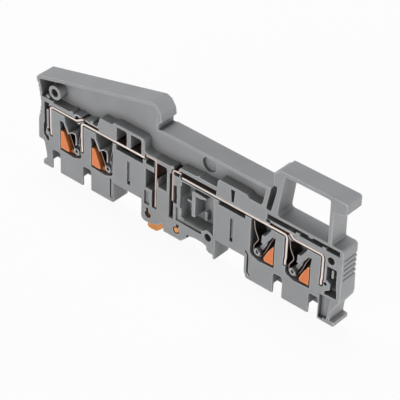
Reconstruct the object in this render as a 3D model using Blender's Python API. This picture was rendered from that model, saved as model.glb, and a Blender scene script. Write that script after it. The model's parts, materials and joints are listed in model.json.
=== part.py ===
"""Disconnect terminal block for a mounting rail, with its end open as in the photo.

Sizes are millimetres in a flat layout: x runs along the block, z runs up towards the
rail foot and y runs back from the open face. The last step moves everything to the
middle of the rail seat and to metres.
"""
import bpy
import bmesh
import math

# housing
BODY_DEPTH = 5.3
FRONT_WALL = 1.0
BACK_WALL = 1.0
WEB_DEPTH = 2.5
RIM = 0.8
RAIL_LEFT = -13.0
RAIL_GAP = 35.2
SEAT_Z = 13.9
HOOK_ROOM = 1.4
HOOK_REACH = 0.85
UNDERSIDE_Z = -8.85
FOOT_Z = -14.7
DECK_Z = 7.45
LATCH_BAR = 0.95
# clamps, mirrored about MIDDLE_X
MIDDLE_X = -5.96
INNER_LEG = 31.73
CLAMP_PITCH = 10.36
NOTCH_NEAR = 0.45
NOTCH_FAR = 3.18
CAVITY_FAR = 10.35
CAVITY_TOP = 2.95
CAVITY_BOTTOM = -7.6
SPRING_BOSS_R = 0.95
PUSHER_TRAVEL = 1.1
# metal
BAR_Z = 3.45
BAR_THICK = 0.62
BAR_WIDTH = 3.5
BAR_FRONT = 0.15
LAP_FRONT = 0.65
LAP_GAP = 0.15
CONTACT_THICK = 0.5
CONTACT_FOOT_Z = -9.2
SPRING_THICK = 0.25
BLADE_THICK = 0.8
# disconnect lever
PIVOT_X = -6.92
PIVOT_Z = -12.36
BLADE_R = 9.4
LEVER_BOSS_R = 1.8
TRUNNION_R = 0.75
# clearances
GAP = 0.2
FINE_GAP = 0.12

RAIL_MID = RAIL_LEFT + RAIL_GAP / 2
RAIL_RIGHT = RAIL_LEFT + RAIL_GAP
FLOOR = BODY_DEPTH - BACK_WALL
LEFT_OUTER = MIDDLE_X - INNER_LEG - CLAMP_PITCH
LEFT_INNER = MIDDLE_X - INNER_LEG
RIGHT_INNER = MIDDLE_X + INNER_LEG
RIGHT_OUTER = MIDDLE_X + INNER_LEG + CLAMP_PITCH
CLAMPS = (
    ("outer_left", LEFT_OUTER, 1),
    ("inner_left", LEFT_INNER, 1),
    ("inner_right", RIGHT_INNER, -1),
    ("outer_right", RIGHT_OUTER, -1),
)
END_LEFT = LEFT_OUTER - 4.0
END_RIGHT = RIGHT_OUTER + 5.4
LEVER_MIDDLE_Y = (FRONT_WALL + FLOOR) / 2


def rounded(points, steps=4):
    """An outline whose corners with a third value are rounded to that radius."""
    out = []
    count = len(points)
    for i, corner in enumerate(points):
        if len(corner) == 2:
            out.append(corner)
            continue
        x, z, radius = corner
        ax, az = points[i - 1][0] - x, points[i - 1][1] - z
        bx, bz = points[(i + 1) % count][0] - x, points[(i + 1) % count][1] - z
        la = math.hypot(ax, az)
        lb = math.hypot(bx, bz)
        ax, az, bx, bz = ax / la, az / la, bx / lb, bz / lb
        half = math.acos(max(-1, min(1, ax * bx + az * bz))) / 2
        reach = min(radius / math.tan(half), la * 0.48, lb * 0.48)
        radius = reach * math.tan(half)
        mx, mz = ax + bx, az + bz
        lm = math.hypot(mx, mz)
        cx = x + mx / lm * radius / math.sin(half)
        cz = z + mz / lm * radius / math.sin(half)
        start = math.atan2(z + az * reach - cz, x + ax * reach - cx)
        end = math.atan2(z + bz * reach - cz, x + bx * reach - cx)
        turn = (end - start + math.pi) % (2 * math.pi) - math.pi
        for k in range(steps + 1):
            angle = start + turn * k / steps
            out.append((cx + radius * math.cos(angle), cz + radius * math.sin(angle)))
    return out


def arc(x, z, radius, start, end, steps):
    """Points on a circle, with its angles in degrees."""
    out = []
    for k in range(steps + 1):
        angle = math.radians(start + (end - start) * k / steps)
        out.append((x + radius * math.cos(angle), z + radius * math.sin(angle)))
    return out


def box(x0, x1, z0, z1):
    return [(x0, z0), (x1, z0), (x1, z1), (x0, z1)]


def strip(path, left, right):
    """The outline of a bent strip that reaches left and right of its path."""
    sides = ([], [])
    last = len(path) - 1
    for i, (x, z) in enumerate(path):
        before = path[max(i - 1, 0)]
        after = path[min(i + 1, last)]
        normals = []
        for a, b in ((before, (x, z)), ((x, z), after)):
            length = math.hypot(b[0] - a[0], b[1] - a[1])
            if length > 1e-9:
                normals.append(((a[1] - b[1]) / length, (b[0] - a[0]) / length))
        nx = sum(n[0] for n in normals) / len(normals)
        nz = sum(n[1] for n in normals) / len(normals)
        square = nx * nx + nz * nz
        sides[0].append((x + nx / square * left, z + nz / square * left))
        sides[1].append((x - nx / square * right, z - nz / square * right))
    return sides[0] + sides[1][::-1]


def mesh_object(name, rings):
    """A closed body through matching outlines, each a list of (x, y, z) points."""
    bm = bmesh.new()
    rows = [[bm.verts.new(p) for p in ring] for ring in rings]
    bm.faces.new(rows[0])
    bm.faces.new(rows[-1][::-1])
    for low, high in zip(rows, rows[1:]):
        for i in range(len(low)):
            j = (i + 1) % len(low)
            bm.faces.new((low[j], low[i], high[i], high[j]))
    bmesh.ops.recalc_face_normals(bm, faces=bm.faces)
    mesh = bpy.data.meshes.new(name)
    bm.to_mesh(mesh)
    bm.free()
    obj = bpy.data.objects.new(name, mesh)
    bpy.context.scene.collection.objects.link(obj)
    return obj


def prism(name, outline, y0, y1):
    rings = [[(x, y, z) for x, z in outline] for y in (y0, y1)]
    return mesh_object(name, rings)


def disc(name, x, z, radius, y0, y1, sides=20):
    return prism(name, arc(x, z, radius, 0, 360 * (sides - 1) / sides, sides - 1), y0, y1)


def combine(target, tools, operation):
    """Apply one exact boolean for each tool and remove the tools."""
    for i, tool in enumerate(tools):
        tool.hide_render = True
        tool.display_type = "WIRE"
        modifier = target.modifiers.new("step" + str(i), "BOOLEAN")
        modifier.operation = operation
        modifier.solver = "EXACT"
        modifier.object = tool
    graph = bpy.context.evaluated_depsgraph_get()
    mesh = bpy.data.meshes.new_from_object(target.evaluated_get(graph))
    target.modifiers.clear()
    target.data = mesh
    for tool in tools:
        bpy.data.objects.remove(tool)
    return target


def cut(target, tools):
    return combine(target, tools, "DIFFERENCE")


def join(target, tools):
    return combine(target, tools, "UNION")


def housing_outline():
    """The whole side view, anticlockwise from the left end's top corner."""
    slope = 0.251
    nose_x = RAIL_LEFT - 3.3
    top_left_z = 19.82 - slope * (nose_x - END_LEFT)
    return rounded([
        (END_LEFT, top_left_z),
        (END_LEFT - 0.5, 9.95, 0.3),
        (END_LEFT + 0.15, 8.0),
        (END_LEFT + 0.55, 6.0),
        (END_LEFT + 0.95, 3.05, 2.0),
        (END_LEFT + 0.05, -1.9, 0.5),
        (END_LEFT, -7.4, 0.3),
        (END_LEFT + 1.4, -7.4),
        (END_LEFT + 1.8, -7.9),
        (END_LEFT + 2.45, -10.85),
        (LEFT_OUTER - 1.4, -12.15),
        (LEFT_OUTER - 2.63, -13.45),
        (LEFT_OUTER - 2.63, FOOT_Z),
        (LEFT_INNER + 10.5, FOOT_Z),
        (LEFT_INNER + 10.5, UNDERSIDE_Z),
        (PIVOT_X - 11.1, UNDERSIDE_Z),
        (PIVOT_X - 11.1, FOOT_Z, 1.2),
        (PIVOT_X + 1.48, FOOT_Z),
        (PIVOT_X + 2.69, -13.62),
        (PIVOT_X + 3.99, -12.23),
        (PIVOT_X + 4.39, -11.93, 0.4),
        (-1.22, -11.62, 0.5),
        (1.3, -11.62),
        (2.6, -12.1, 0.4),
        (2.52, -12.98),
        (3.33, -13.57),
        (4.5, -13.57),
        (4.6, FOOT_Z),
        (5.12, FOOT_Z),
        (5.12, UNDERSIDE_Z),
        (RIGHT_INNER - 11.8, UNDERSIDE_Z),
        (RIGHT_INNER - 11.75, -12.9),
        (RIGHT_INNER - 11.1, FOOT_Z, 0.4),
        (RIGHT_OUTER + 4.3, FOOT_Z),
        (RIGHT_OUTER + 4.3, -13.6),
        (RIGHT_OUTER + 3.0, -13.42),
        (RIGHT_OUTER + 3.25, -10.6, 1.0),
        (END_RIGHT - 0.1, -7.2, 0.6),
        (END_RIGHT + 0.1, -5.9, 0.5),
        (END_RIGHT, -2.5),
        (END_RIGHT - 0.08, DECK_Z, 0.8),
        (RAIL_RIGHT + 15.85, DECK_Z, 0.4),
        (RAIL_RIGHT + 15.78, 16.06, 0.3),
        (RAIL_RIGHT + 19.2, 17.12, 0.3),
        (RAIL_RIGHT + 19.2, 20.2, 0.6),
        (RAIL_RIGHT + 1.2, 19.97),
        (RAIL_RIGHT + 0.3, 19.9, 0.5),
        (RAIL_RIGHT, 19.07),
        (RAIL_RIGHT - 1.05, 18.68, 0.3),
        (RAIL_RIGHT - 1.0, SEAT_Z + HOOK_ROOM, 0.2),
        (RAIL_RIGHT, SEAT_Z + HOOK_ROOM - 0.1),
        (RAIL_RIGHT, SEAT_Z),
        (RAIL_RIGHT - 1.31, DECK_Z + 0.3, 0.4),
        (RAIL_RIGHT - 2.8, DECK_Z + 0.3, 0.4),
        (RAIL_RIGHT - 1.68, SEAT_Z),
        (RAIL_LEFT + HOOK_REACH + GAP, SEAT_Z),
        (RAIL_LEFT + HOOK_REACH + GAP, SEAT_Z - GAP),
        (RAIL_LEFT, SEAT_Z - GAP),
        (RAIL_LEFT, SEAT_Z + HOOK_ROOM),
        (RAIL_LEFT + HOOK_REACH, SEAT_Z + HOOK_ROOM + 0.5, 0.2),
        (RAIL_LEFT + 0.6, 17.8, 0.8),
        (RAIL_LEFT - 0.6, 19.5, 0.8),
        (RAIL_LEFT - 2.1, 20.1, 0.8),
        (nose_x, 19.82),
    ])


def top_inner(x):
    """The lower edge of the sloping rim above a point."""
    return 19.82 - 0.251 * (RAIL_LEFT - 3.3 - x) - RIM


def upper_recesses():
    """The thin web under the sloping top, the corner pocket and their neighbours."""
    pocket_right = LEFT_OUTER + 1.25
    block_left = RAIL_LEFT - 18.5
    block_right = RAIL_LEFT - 4.2
    web = rounded([
        (pocket_right - 0.2, 5.05),
        (LEFT_INNER - 3.8, 5.05),
        (LEFT_INNER - 3.6, 5.45, 0.2),
        (LEFT_INNER - 2.9, 5.45, 0.2),
        (LEFT_INNER - 2.7, 5.05),
        (LEFT_INNER - 2.1, 5.05, 0.3),
        (LEFT_INNER - 1.5, 5.5, 0.4),
        (LEFT_INNER - 0.7, 5.4, 0.4),
        (LEFT_INNER + 0.2, 5.1, 0.4),
        (LEFT_INNER + 3.0, 5.1),
        (LEFT_INNER + 3.1, 5.8, 0.3),
        (LEFT_INNER + 3.8, 5.8, 0.3),
        (LEFT_INNER + 3.9, 5.1),
        (block_left - 0.85, 5.1, 0.2),
        (block_left, 8.03),
        (block_left + 3.75, 8.03),
        (block_left + 4.6, 8.83),
        (block_right, 8.83, 1.1),
        (block_right, 5.12, 0.8),
        (-8.95, 5.2),
        (-8.65, 5.55, 0.15),
        (-8.1, 5.5, 0.15),
        (-7.95, 4.7),
        (-6.85, 4.7),
        (-6.0, 6.2, 0.2),
        (-0.95, 6.35),
        (-0.45, 6.75, 0.3),
        (0.1, 6.4),
        (5.02, 6.4),
        (5.3, 8.3, 0.5),
        (5.8, 8.87),
        (13.8, 8.87),
        (14.5, 8.1),
        (RAIL_RIGHT - 3.9, 8.1, 0.8),
        (RAIL_RIGHT - 2.95, SEAT_Z - RIM, 0.4),
        (RAIL_LEFT - RIM, SEAT_Z - RIM, 0.3),
        (RAIL_LEFT - RIM, SEAT_Z + 2.2),
        (RAIL_LEFT - 0.3, SEAT_Z + 2.7, 0.3),
        (RAIL_LEFT - 1.0, 18.7, 0.6),
        (RAIL_LEFT - 2.2, 19.25, 0.4),
        (RAIL_LEFT - 3.3, top_inner(RAIL_LEFT - 3.3)),
        (pocket_right - 0.2, top_inner(pocket_right - 0.2)),
    ])
    pocket = rounded([
        (END_LEFT + 1.1, 5.35),
        (pocket_right, 5.35, 0.3),
        (pocket_right, top_inner(pocket_right) - 0.1),
        (END_LEFT + 0.7, top_inner(END_LEFT + 0.7) - 0.1),
        (END_LEFT + 0.45, 9.7),
        (END_LEFT + 0.95, 8.0),
        (END_LEFT + 1.3, 6.2),
    ])
    window_top = 8.03
    window_foot = BAR_Z - 0.1
    windows = []
    for x0, x1 in ((block_left + 5.3, block_left + 8.62), (block_left + 9.85, block_left + 13.28)):
        outline = rounded([(x0, window_foot), (x1, window_foot), (x1, window_top, 0.6), (x0, window_top, 0.3)])
        windows.append(prism("window", outline, -1, FLOOR - 0.1))
    slit = [(9.47, 4.5), (10.07, 4.5), (10.33, 7.9), (9.14, 7.9)]
    return [
        prism("web", web, -1, WEB_DEPTH),
        prism("pocket", pocket, -1, FLOOR),
        prism("slit", slit, -1, 3.0),
        disc("dimple", 0.6, 9.25, 2.1, -1, WEB_DEPTH + 0.8, 28),
    ] + windows


def pocket_boss():
    """The tube at the edge of the corner pocket and the small block beside it."""
    x = LEFT_OUTER + 1.5
    z = 8.1
    tube = disc("tube", x, z, 1.95, 0.05, BODY_DEPTH - 0.3, 28)
    foot = prism("foot", box(x - 3.1, x - 2.0, 5.0, z - 1.9), 0.3, BODY_DEPTH - 0.3)
    bore = disc("bore", x, z, 1.1, -1, FLOOR - 0.3, 24)
    return [tube, foot], bore


def end_details():
    """Slots, ridges and holes at the two ends."""
    left = rounded([
        (END_LEFT + 1.95, 4.25, 0.3),
        (LEFT_OUTER - 0.4, 4.25),
        (LEFT_OUTER - 0.4, 2.4),
        (END_LEFT + 2.75, 2.3, 0.3),
        (END_LEFT + 2.75, -2.9),
        (END_LEFT + 2.3, -4.9),
        (END_LEFT + 3.3, -5.6, 0.3),
        (END_LEFT + 3.6, -6.9, 0.3),
        (END_LEFT + 2.8, -6.9, 0.3),
        (END_LEFT + 1.6, -5.4, 0.4),
        (END_LEFT + 1.6, -2.9, 0.3),
        (END_LEFT + 1.95, -1.5),
    ])
    right = rounded([
        (RIGHT_OUTER + 1.25, 1.37, 0.2),
        (RIGHT_OUTER + 1.3, -2.55),
        (RIGHT_OUTER + 2.5, -3.3, 0.3),
        (RIGHT_OUTER + 2.5, -5.0, 0.3),
        (RIGHT_OUTER + 1.1, -5.9, 0.3),
        (RIGHT_OUTER + 1.0, -6.8, 0.2),
        (END_RIGHT - 0.85, -6.6, 0.4),
        (END_RIGHT - 1.25, -2.5),
        (END_RIGHT - 1.3, 1.37, 0.3),
    ])
    groove = rounded([
        (RIGHT_OUTER + 0.9, -7.3, 0.4),
        (RIGHT_OUTER + 0.95, FOOT_Z + 0.95),
        (RIGHT_OUTER + 2.15, FOOT_Z + 0.95),
        (RIGHT_OUTER + 2.9, -7.3, 0.4),
    ])
    tools = [
        prism("left_slot", left, -1, FLOOR),
        prism("right_slot", right, -1, FLOOR - 0.4),
        prism("groove", groove, -1, 2.8),
        disc("hole", RIGHT_OUTER + 2.3, 3.2, 1.0, -1, FLOOR - 0.5, 22),
        disc("foot_hole", LEFT_OUTER - 0.65, -3.65, 0.5, -1, 3.0, 16),
        disc("foot_hole", RIGHT_OUTER + 1.1, -3.9, 0.5, -1, 3.0, 16),
        prism("kink_room", rounded([
            (LEFT_INNER - 2.1, BAR_Z + 0.4), (LEFT_INNER - 0.5, BAR_Z + 0.8),
            (LEFT_INNER - 0.4, BAR_Z + 1.3, 0.2), (LEFT_INNER - 1.4, BAR_Z + 1.6, 0.3),
            (LEFT_INNER - 2.1, BAR_Z + 1.1, 0.3),
        ]), -1, BAR_FRONT + BAR_WIDTH + GAP),
    ]
    for z in (4.37, 3.03, 1.69, 0.35, -0.99):
        edge = END_RIGHT + 0.05
        vee = [(edge - 0.35, z), (edge + 0.3, z - 0.75), (edge + 0.3, z + 0.55)]
        tools.append(prism("ridge", vee, 0.8, BODY_DEPTH + 1))
    for z in (8.55, 7.35, 6.15, 4.95, 3.75, 2.5, 1.3, 0.1):
        edge = END_LEFT + 0.0 + max(0, 0.95 - 0.16 * abs(z - 3.05))
        vee = [(edge + 0.25, z), (edge - 0.6, z + 0.5), (edge - 0.6, z - 0.5)]
        tools.append(prism("ridge", vee, -1, BODY_DEPTH + 1))
    nub = prism("nub", rounded([
        (RIGHT_OUTER + 2.3, -1.9, 0.3),
        (RIGHT_OUTER + 2.95, -1.9, 0.3),
        (RIGHT_OUTER + 2.85, 0.35, 0.3),
        (RIGHT_OUTER + 2.3, 0.35, 0.3),
    ]), 0.6, BODY_DEPTH - 0.3)
    return tools, nub


def latch_window():
    """The opening under the springy latch loop."""
    return prism("latch_window", rounded([
        (RAIL_RIGHT + 0.5, DECK_Z, 0.8),
        (RAIL_RIGHT + 14.9, DECK_Z, 0.4),
        (RAIL_RIGHT + 14.75, 20.2 - LATCH_BAR - 0.1, 0.5),
        (RAIL_RIGHT + 2.1, 19.97 - LATCH_BAR, 0.8),
        (RAIL_RIGHT + 1.3, SEAT_Z),
    ]), -1, BODY_DEPTH + 1)


def middle_recesses():
    """The pockets, windows and shallow marks between the two pairs of clamps."""
    bar_top = BAR_Z + BAR_THICK / 2
    deep = FLOOR - 0.1
    left_pocket = LEFT_INNER + 11.3
    tools = [
        prism("bar_pocket", box(left_pocket, RAIL_LEFT - 4.8, 1.55, BAR_Z), -1, deep),
        prism("bar_pocket", box(5.7, 13.65, 1.85, BAR_Z), -1, deep),
        prism("bar_slot", box(-6.1, 4.85, BAR_Z, 5.2), -1, deep),
        prism("end_slot", box(19.65, 20.9, 4.3, 5.15), -1, 3.0),
        prism("long_slot", [
            (19.9, 5.27), (28.1, 5.27), (28.2, 5.9), (29.1, 5.9), (29.3, 5.27),
            (35.5, 5.27), (35.7, 5.85), (36.6, 5.85), (36.8, 5.27), (40.55, 5.27),
            (40.55, 6.68), (33.0, 6.68), (32.8, 6.25), (31.8, 6.25), (31.6, 6.68),
            (19.9, 6.68),
        ], -1, deep),
        prism("window_a", box(-16.85, -13.9, -4.7, 0.7), -1, deep),
        prism("window_a_top", box(-16.75, -14.15, 2.2, 4.0), -1, 3.4),
        prism("window_b", rounded([
            (-12.8, -2.7), (-10.1, -2.7), (-10.1, 4.05, 0.6), (-13.3, 4.05), (-13.3, -0.2),
        ]), -1, deep),
        prism("window_c", box(-7.9, -6.93, -4.7, 0.5), -1, 3.2),
        prism("window_c_top", box(-7.9, -6.3, 3.3, BAR_Z + 0.9), -1, 3.2),
        prism("mark_a", box(-17.2, -15.6, -9.65, -5.7), -1, 0.6),
        prism("mark_c", [
            (-7.2, -9.5), (0.9, -9.5), (0.9, -8.27), (-4.8, -8.27), (-4.8, -5.65), (-7.2, -5.65),
        ], -1, 0.6),
        prism("mark_left", box(-22.73, -21.8, -6.8, -0.2), -1, 0.7),
        prism("mark_left_end", box(-22.73, -21.8, -6.8, -6.2), -1, 2.0),
        prism("mark_right", box(9.35, 10.25, -6.75, -0.2), -1, 0.7),
        prism("mark_right_end", box(9.35, 10.25, -6.75, -6.15), -1, 2.0),
        prism("line_left", strip([(-28.1, -8.1), (-28.1, -13.3), (-27.6, -13.65)], 0.22, 0.22),
              -1, 0.8),
        prism("line_right", strip([(14.2, -6.9), (14.95, -7.9), (15.0, -12.9), (15.7, -13.4)],
                                  0.22, 0.22), -1, 0.8),
        disc("round_hole", 2.89, -9.34, 1.05, -1, FLOOR - 0.5, 24),
    ]
    centre = prism("centre", rounded([
        (-5.95, -8.2, 0.4), (4.45, -8.2, 0.4), (4.4, bar_top - 1.0, 0.3),
        (-5.55, bar_top - 1.0, 0.2), (-5.55, 1.4), (-5.95, 1.1),
    ]), -1, 3.6)
    islands = [
        prism("frame", rounded([
            (-2.2, -5.6, 0.2), (-1.05, -5.5, 0.3), (-1.23, -4.8), (-1.23, 0.6, 0.3), (0.7, 0.6),
            (1.3, 0.95), (2.0, 0.95, 0.25), (2.0, 1.5, 0.3), (-2.2, 1.75, 0.6),
        ]), 0.0, BODY_DEPTH - 0.3),
        prism("wedge", rounded([
            (3.6, 1.7, 0.2), (3.75, 0.9, 0.3), (4.7, 0.7), (4.7, 1.7),
        ]), 0.6, BODY_DEPTH - 0.3),
        prism("arm", box(-4.3, -1.9, -2.75, -2.1), 0.8, BODY_DEPTH - 0.3),
        prism("lug", box(-2.55, -1.9, -4.2, -3.6), 0.2, BODY_DEPTH - 0.3),
        prism("post", rounded([(0.0, -7.0, 0.3), (0.7, -7.0, 0.3), (0.65, -4.45, 0.3),
                               (0.0, -4.45, 0.3)]), 2.3, BODY_DEPTH - 0.3),
        disc("ring_boss", 2.89, -9.34, 1.9, 0.0, BODY_DEPTH - 0.3, 28),
    ]
    return tools, centre, islands


def bridge_shafts():
    """Square shafts from the underside up to the bars, for plug-in bridges."""
    tools = []
    for x0, x1 in ((-25.7, -23.1), (-21.3, -18.7), (6.3, 8.9), (10.4, 13.0)):
        tools.append(prism("shaft", box(x0, x1, UNDERSIDE_Z - 1, BAR_Z), 1.2, FLOOR - 0.2))
    return tools


def clamp_point(leg, side, reach, z):
    return (leg + side * reach, z)


def clamp_outline(leg, side, points):
    """Points given by their reach from the bar leg towards the middle."""
    return [(leg + side * p[0],) + tuple(p[1:]) for p in points]


def clamp_cuts(leg, side):
    """Everything removed from the housing for one clamp."""
    cavity = clamp_outline(leg, side, [
        (NOTCH_FAR + 0.07, CAVITY_BOTTOM),
        (CAVITY_FAR - 2.6, CAVITY_BOTTOM - 0.3, 1.0),
        (CAVITY_FAR - 0.1, CAVITY_BOTTOM + 0.6, 1.0),
        (CAVITY_FAR, CAVITY_TOP),
        (4.5, CAVITY_TOP),
        (4.4, 0.85),
        (NOTCH_FAR - 0.1, 0.85),
        (NOTCH_FAR + 0.07, -1.0),
    ])
    notch = clamp_outline(leg, side, [
        (NOTCH_NEAR, FOOT_Z - 1),
        (NOTCH_NEAR, UNDERSIDE_Z, 0.7),
        (NOTCH_FAR, UNDERSIDE_Z, 0.7),
        (NOTCH_FAR, FOOT_Z - 1),
    ])
    channel = clamp_outline(leg, side, [
        (NOTCH_NEAR - 0.1, FOOT_Z - 1),
        (NOTCH_NEAR - 0.1, 2.2, 0.4),
        (NOTCH_FAR, 2.2, 0.6),
        (NOTCH_FAR, 0.8),
        (NOTCH_FAR + 0.3, 0.7),
        (NOTCH_FAR + 0.3, CAVITY_BOTTOM + 0.6),
        (NOTCH_FAR, CAVITY_BOTTOM),
        (NOTCH_FAR, FOOT_Z - 1),
    ])
    well = clamp_outline(leg, side, [
        (NOTCH_FAR + 0.85, FOOT_Z - 1),
        (NOTCH_FAR + 0.85, CAVITY_BOTTOM + 0.5),
        (NOTCH_FAR + 3.75, CAVITY_BOTTOM + 0.5),
        (NOTCH_FAR + 3.75, FOOT_Z - 1),
    ])
    both = clamp_outline(leg, side, [
        (NOTCH_FAR - 0.2, FOOT_Z - 1),
        (NOTCH_FAR - 0.2, FOOT_Z + 2.2),
        (NOTCH_FAR + 1.1, FOOT_Z + 2.2),
        (NOTCH_FAR + 1.1, FOOT_Z - 1),
    ])
    middle = leg + side * (NOTCH_NEAR + NOTCH_FAR) / 2
    depth = (FRONT_WALL + FLOOR) / 2
    rings = []
    for radius, z in ((1.5, FOOT_Z + 2.1), (2.25, FOOT_Z - 0.05)):
        points = arc(middle, depth, radius, 0, 345, 23)
        rings.append([(x, y, z) for x, y in points])
    return [
        prism("cavity", rounded(cavity), -1, FLOOR),
        prism("notch", rounded(notch), -1, FRONT_WALL + 0.1),
        prism("channel", rounded(channel), FRONT_WALL, FLOOR),
        prism("well", well, FRONT_WALL, FLOOR),
        prism("mouth", both, FRONT_WALL, FLOOR),
        mesh_object("funnel", rings),
    ]


def clamp_arm(leg, side):
    """The housing's arm that carries the spring, with its hollow round end."""
    if side > 0:
        arm = [
            (4.0, CAVITY_TOP + 0.3), (4.6, CAVITY_TOP + 0.3), (4.95, 1.0), (6.1, -1.3),
            (7.35, -0.55), (8.4, -0.6), (8.75, -2.0), (8.75, -5.2), (8.1, -5.2), (8.2, -2.0),
            (8.0, -1.15), (7.45, -1.1), (5.95, -2.0), (4.3, 1.0),
        ]
    else:
        arm = [
            (3.3, CAVITY_TOP + 0.3), (4.0, CAVITY_TOP + 0.3), (5.64, 0.72), (6.09, 0.12),
            (7.06, -0.09), (7.08, -1.72), (7.35, -3.0), (8.3, -5.0), (7.6, -5.6), (6.48, -3.56),
            (6.06, -2.37), (5.5, -1.47), (4.0, 0.75), (3.3, 0.95),
        ]
    boss_x, boss_z = clamp_point(leg, side, 8.4, -5.9)
    arm_piece = prism("arm", clamp_outline(leg, side, arm), 0.0, BODY_DEPTH - 0.3)
    boss = disc("boss", boss_x, boss_z, SPRING_BOSS_R, 0.35, BODY_DEPTH - 0.3, 22)
    eye = prism("eye", rounded([
        (boss_x - 0.35, boss_z - 0.45, 0.2), (boss_x + 0.35, boss_z - 0.45, 0.2),
        (boss_x + 0.35, boss_z + 0.45, 0.2), (boss_x - 0.35, boss_z + 0.45, 0.2),
    ], 2), -1, FLOOR - 0.6)
    return [arm_piece, boss], eye


def bar_paths():
    """Centre lines of the four conductor bars, each up its leg and along to its lap."""
    foot_z = -5.0
    bend = 0.14
    turn = 0.8
    lap_z = BAR_Z + BAR_THICK + LAP_GAP

    def leg(x, side):
        return [
            (x + side * bend, foot_z), (x + side * bend, foot_z + 1.5), (x, foot_z + 2.0),
            (x, BAR_Z, turn),
        ]

    kink = LEFT_INNER - 1.6
    step = RIGHT_INNER + 0.6
    return {
        "outer_left": leg(LEFT_OUTER, 1) + [
            (kink, BAR_Z, turn), (kink + 2.0, lap_z + 0.5, turn),
            (kink + 3.3, lap_z, turn), (LEFT_INNER + 5.5, lap_z)],
        "inner_left": leg(LEFT_INNER, 1) + [(RAIL_LEFT - 4.2, BAR_Z)],
        "inner_right": leg(RIGHT_INNER, -1) + [(-5.7, BAR_Z)],
        "outer_right": leg(RIGHT_OUTER, -1) + [
            (step + 1.2, BAR_Z, turn), (step + 0.3, lap_z + 0.3, turn),
            (step - 1.0, lap_z, turn), (RIGHT_INNER - 4.8, lap_z)],
    }


def bar_channels():
    """Room for each bar, wider on its outer side."""
    tools = []
    half = BAR_THICK / 2
    for name, path in bar_paths().items():
        lapped = name.startswith("outer")
        back = BAR_FRONT + BAR_WIDTH + (1.5 * GAP if lapped else GAP)
        outer = half + (1.4 * GAP if lapped else GAP)
        inner = half + GAP
        tip = path[-1]
        beyond = GAP if tip[0] > path[-2][0] else -GAP
        path[-1] = (tip[0] + beyond, tip[1])
        path[0] = (path[0][0], path[0][1] - GAP)
        sides = (outer, inner) if name.endswith("left") else (inner, outer)
        tools.append(prism("bar_channel", strip(rounded(path), sides[0], sides[1]), -1, back))
    return tools


def bar(key):
    """One tinned bar bent on edge, with square holes where a bridge plugs in."""
    path = bar_paths()[key]
    half = BAR_THICK / 2
    body = prism("bar_" + key, strip(rounded(path), half, half), BAR_FRONT,
                 BAR_FRONT + BAR_WIDTH)
    tools = []
    if key.startswith("outer"):
        x0, x1 = sorted((path[-1][0], path[-2][0]))
        tools.append(prism("lap_step", box(x0 - 1, x1 + 1, BAR_Z, BAR_Z + 3), -1, LAP_FRONT))
    for x in {"inner_left": (-24.4, -20.0), "inner_right": (7.6, 11.7)}.get(key, ()):
        rings = [[(x - 0.9, 1.9, z), (x + 0.9, 1.9, z), (x + 0.9, 3.2, z), (x - 0.9, 3.2, z)]
                 for z in (BAR_Z - 1, BAR_Z + 1)]
        tools.append(mesh_object("bridge_hole", rings))
    return cut(body, tools)


def contact_paths():
    top = BAR_Z + 0.95
    left_x = PIVOT_X - 6.75
    right_x = PIVOT_X - 1.45
    return {
        "contact_left": [(RAIL_LEFT - 3.9, top), (left_x, top, 0.6), (left_x, CONTACT_FOOT_Z)],
        "contact_right": [(-5.8, top), (right_x, top, 0.6), (right_x, CONTACT_FOOT_Z)],
    }


def contact_channels():
    tools = []
    half = CONTACT_THICK / 2 + GAP
    for path in contact_paths().values():
        beyond = -GAP if path[0][0] < path[1][0] else GAP
        path[0] = (path[0][0] + beyond, path[0][1])
        path[2] = (path[2][0], path[2][1] - 0.4)
        tools.append(prism("leg_channel", strip(rounded(path), half, half), -1,
                           BAR_FRONT + BAR_WIDTH + GAP))
    left_x = contact_paths()["contact_left"][1][0]
    right_x = contact_paths()["contact_right"][1][0]
    tools.append(prism("leg_room", box(left_x - 1.1, left_x, -9.6, -4.5), -1, FLOOR - 0.1))
    tools.append(prism("leg_room", box(right_x - 0.95, right_x, -9.6, 3.1), -1, 2.0))
    return tools


def contact(name):
    """A thin upright contact with a forked lower end that the blade slides into."""
    path = contact_paths()[name]
    half = CONTACT_THICK / 2
    body = prism(name, strip(rounded(path), half, half), BAR_FRONT, BAR_FRONT + BAR_WIDTH)
    x = path[1][0]
    reach = abs(x - PIVOT_X)
    top = PIVOT_Z + math.sqrt(BLADE_R ** 2 - (reach - half) ** 2) + 0.5
    y0 = LEVER_MIDDLE_Y - BLADE_THICK / 2 - GAP
    y1 = LEVER_MIDDLE_Y + BLADE_THICK / 2 + GAP
    return cut(body, [prism("fork", box(x - 1, x + 1, CONTACT_FOOT_Z - 1, top), y0, y1)])


def lever_outline():
    """Side view of the lever: round at its pivot and hooked at its finger end."""
    x, z = PIVOT_X, PIVOT_Z
    top = z + LEVER_BOSS_R
    return arc(x, z, LEVER_BOSS_R, 242, 450, 14) + rounded([
        (x - 9.0, top, 0.3),
        (x - 9.85, z + 0.8, 0.5),
        (x - 9.9, z - 2.0),
        (x - 10.0, z - 4.6, 0.3),
        (x - 9.1, z - 4.85),
        (x - 7.1, z - 4.7, 0.4),
        (x - 5.5, z - 3.3, 0.5),
        (x - 5.15, z - 1.6, 0.5),
        (x - 3.6, z - 1.3),
        (x - 1.1, z - 1.3),
    ])


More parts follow.
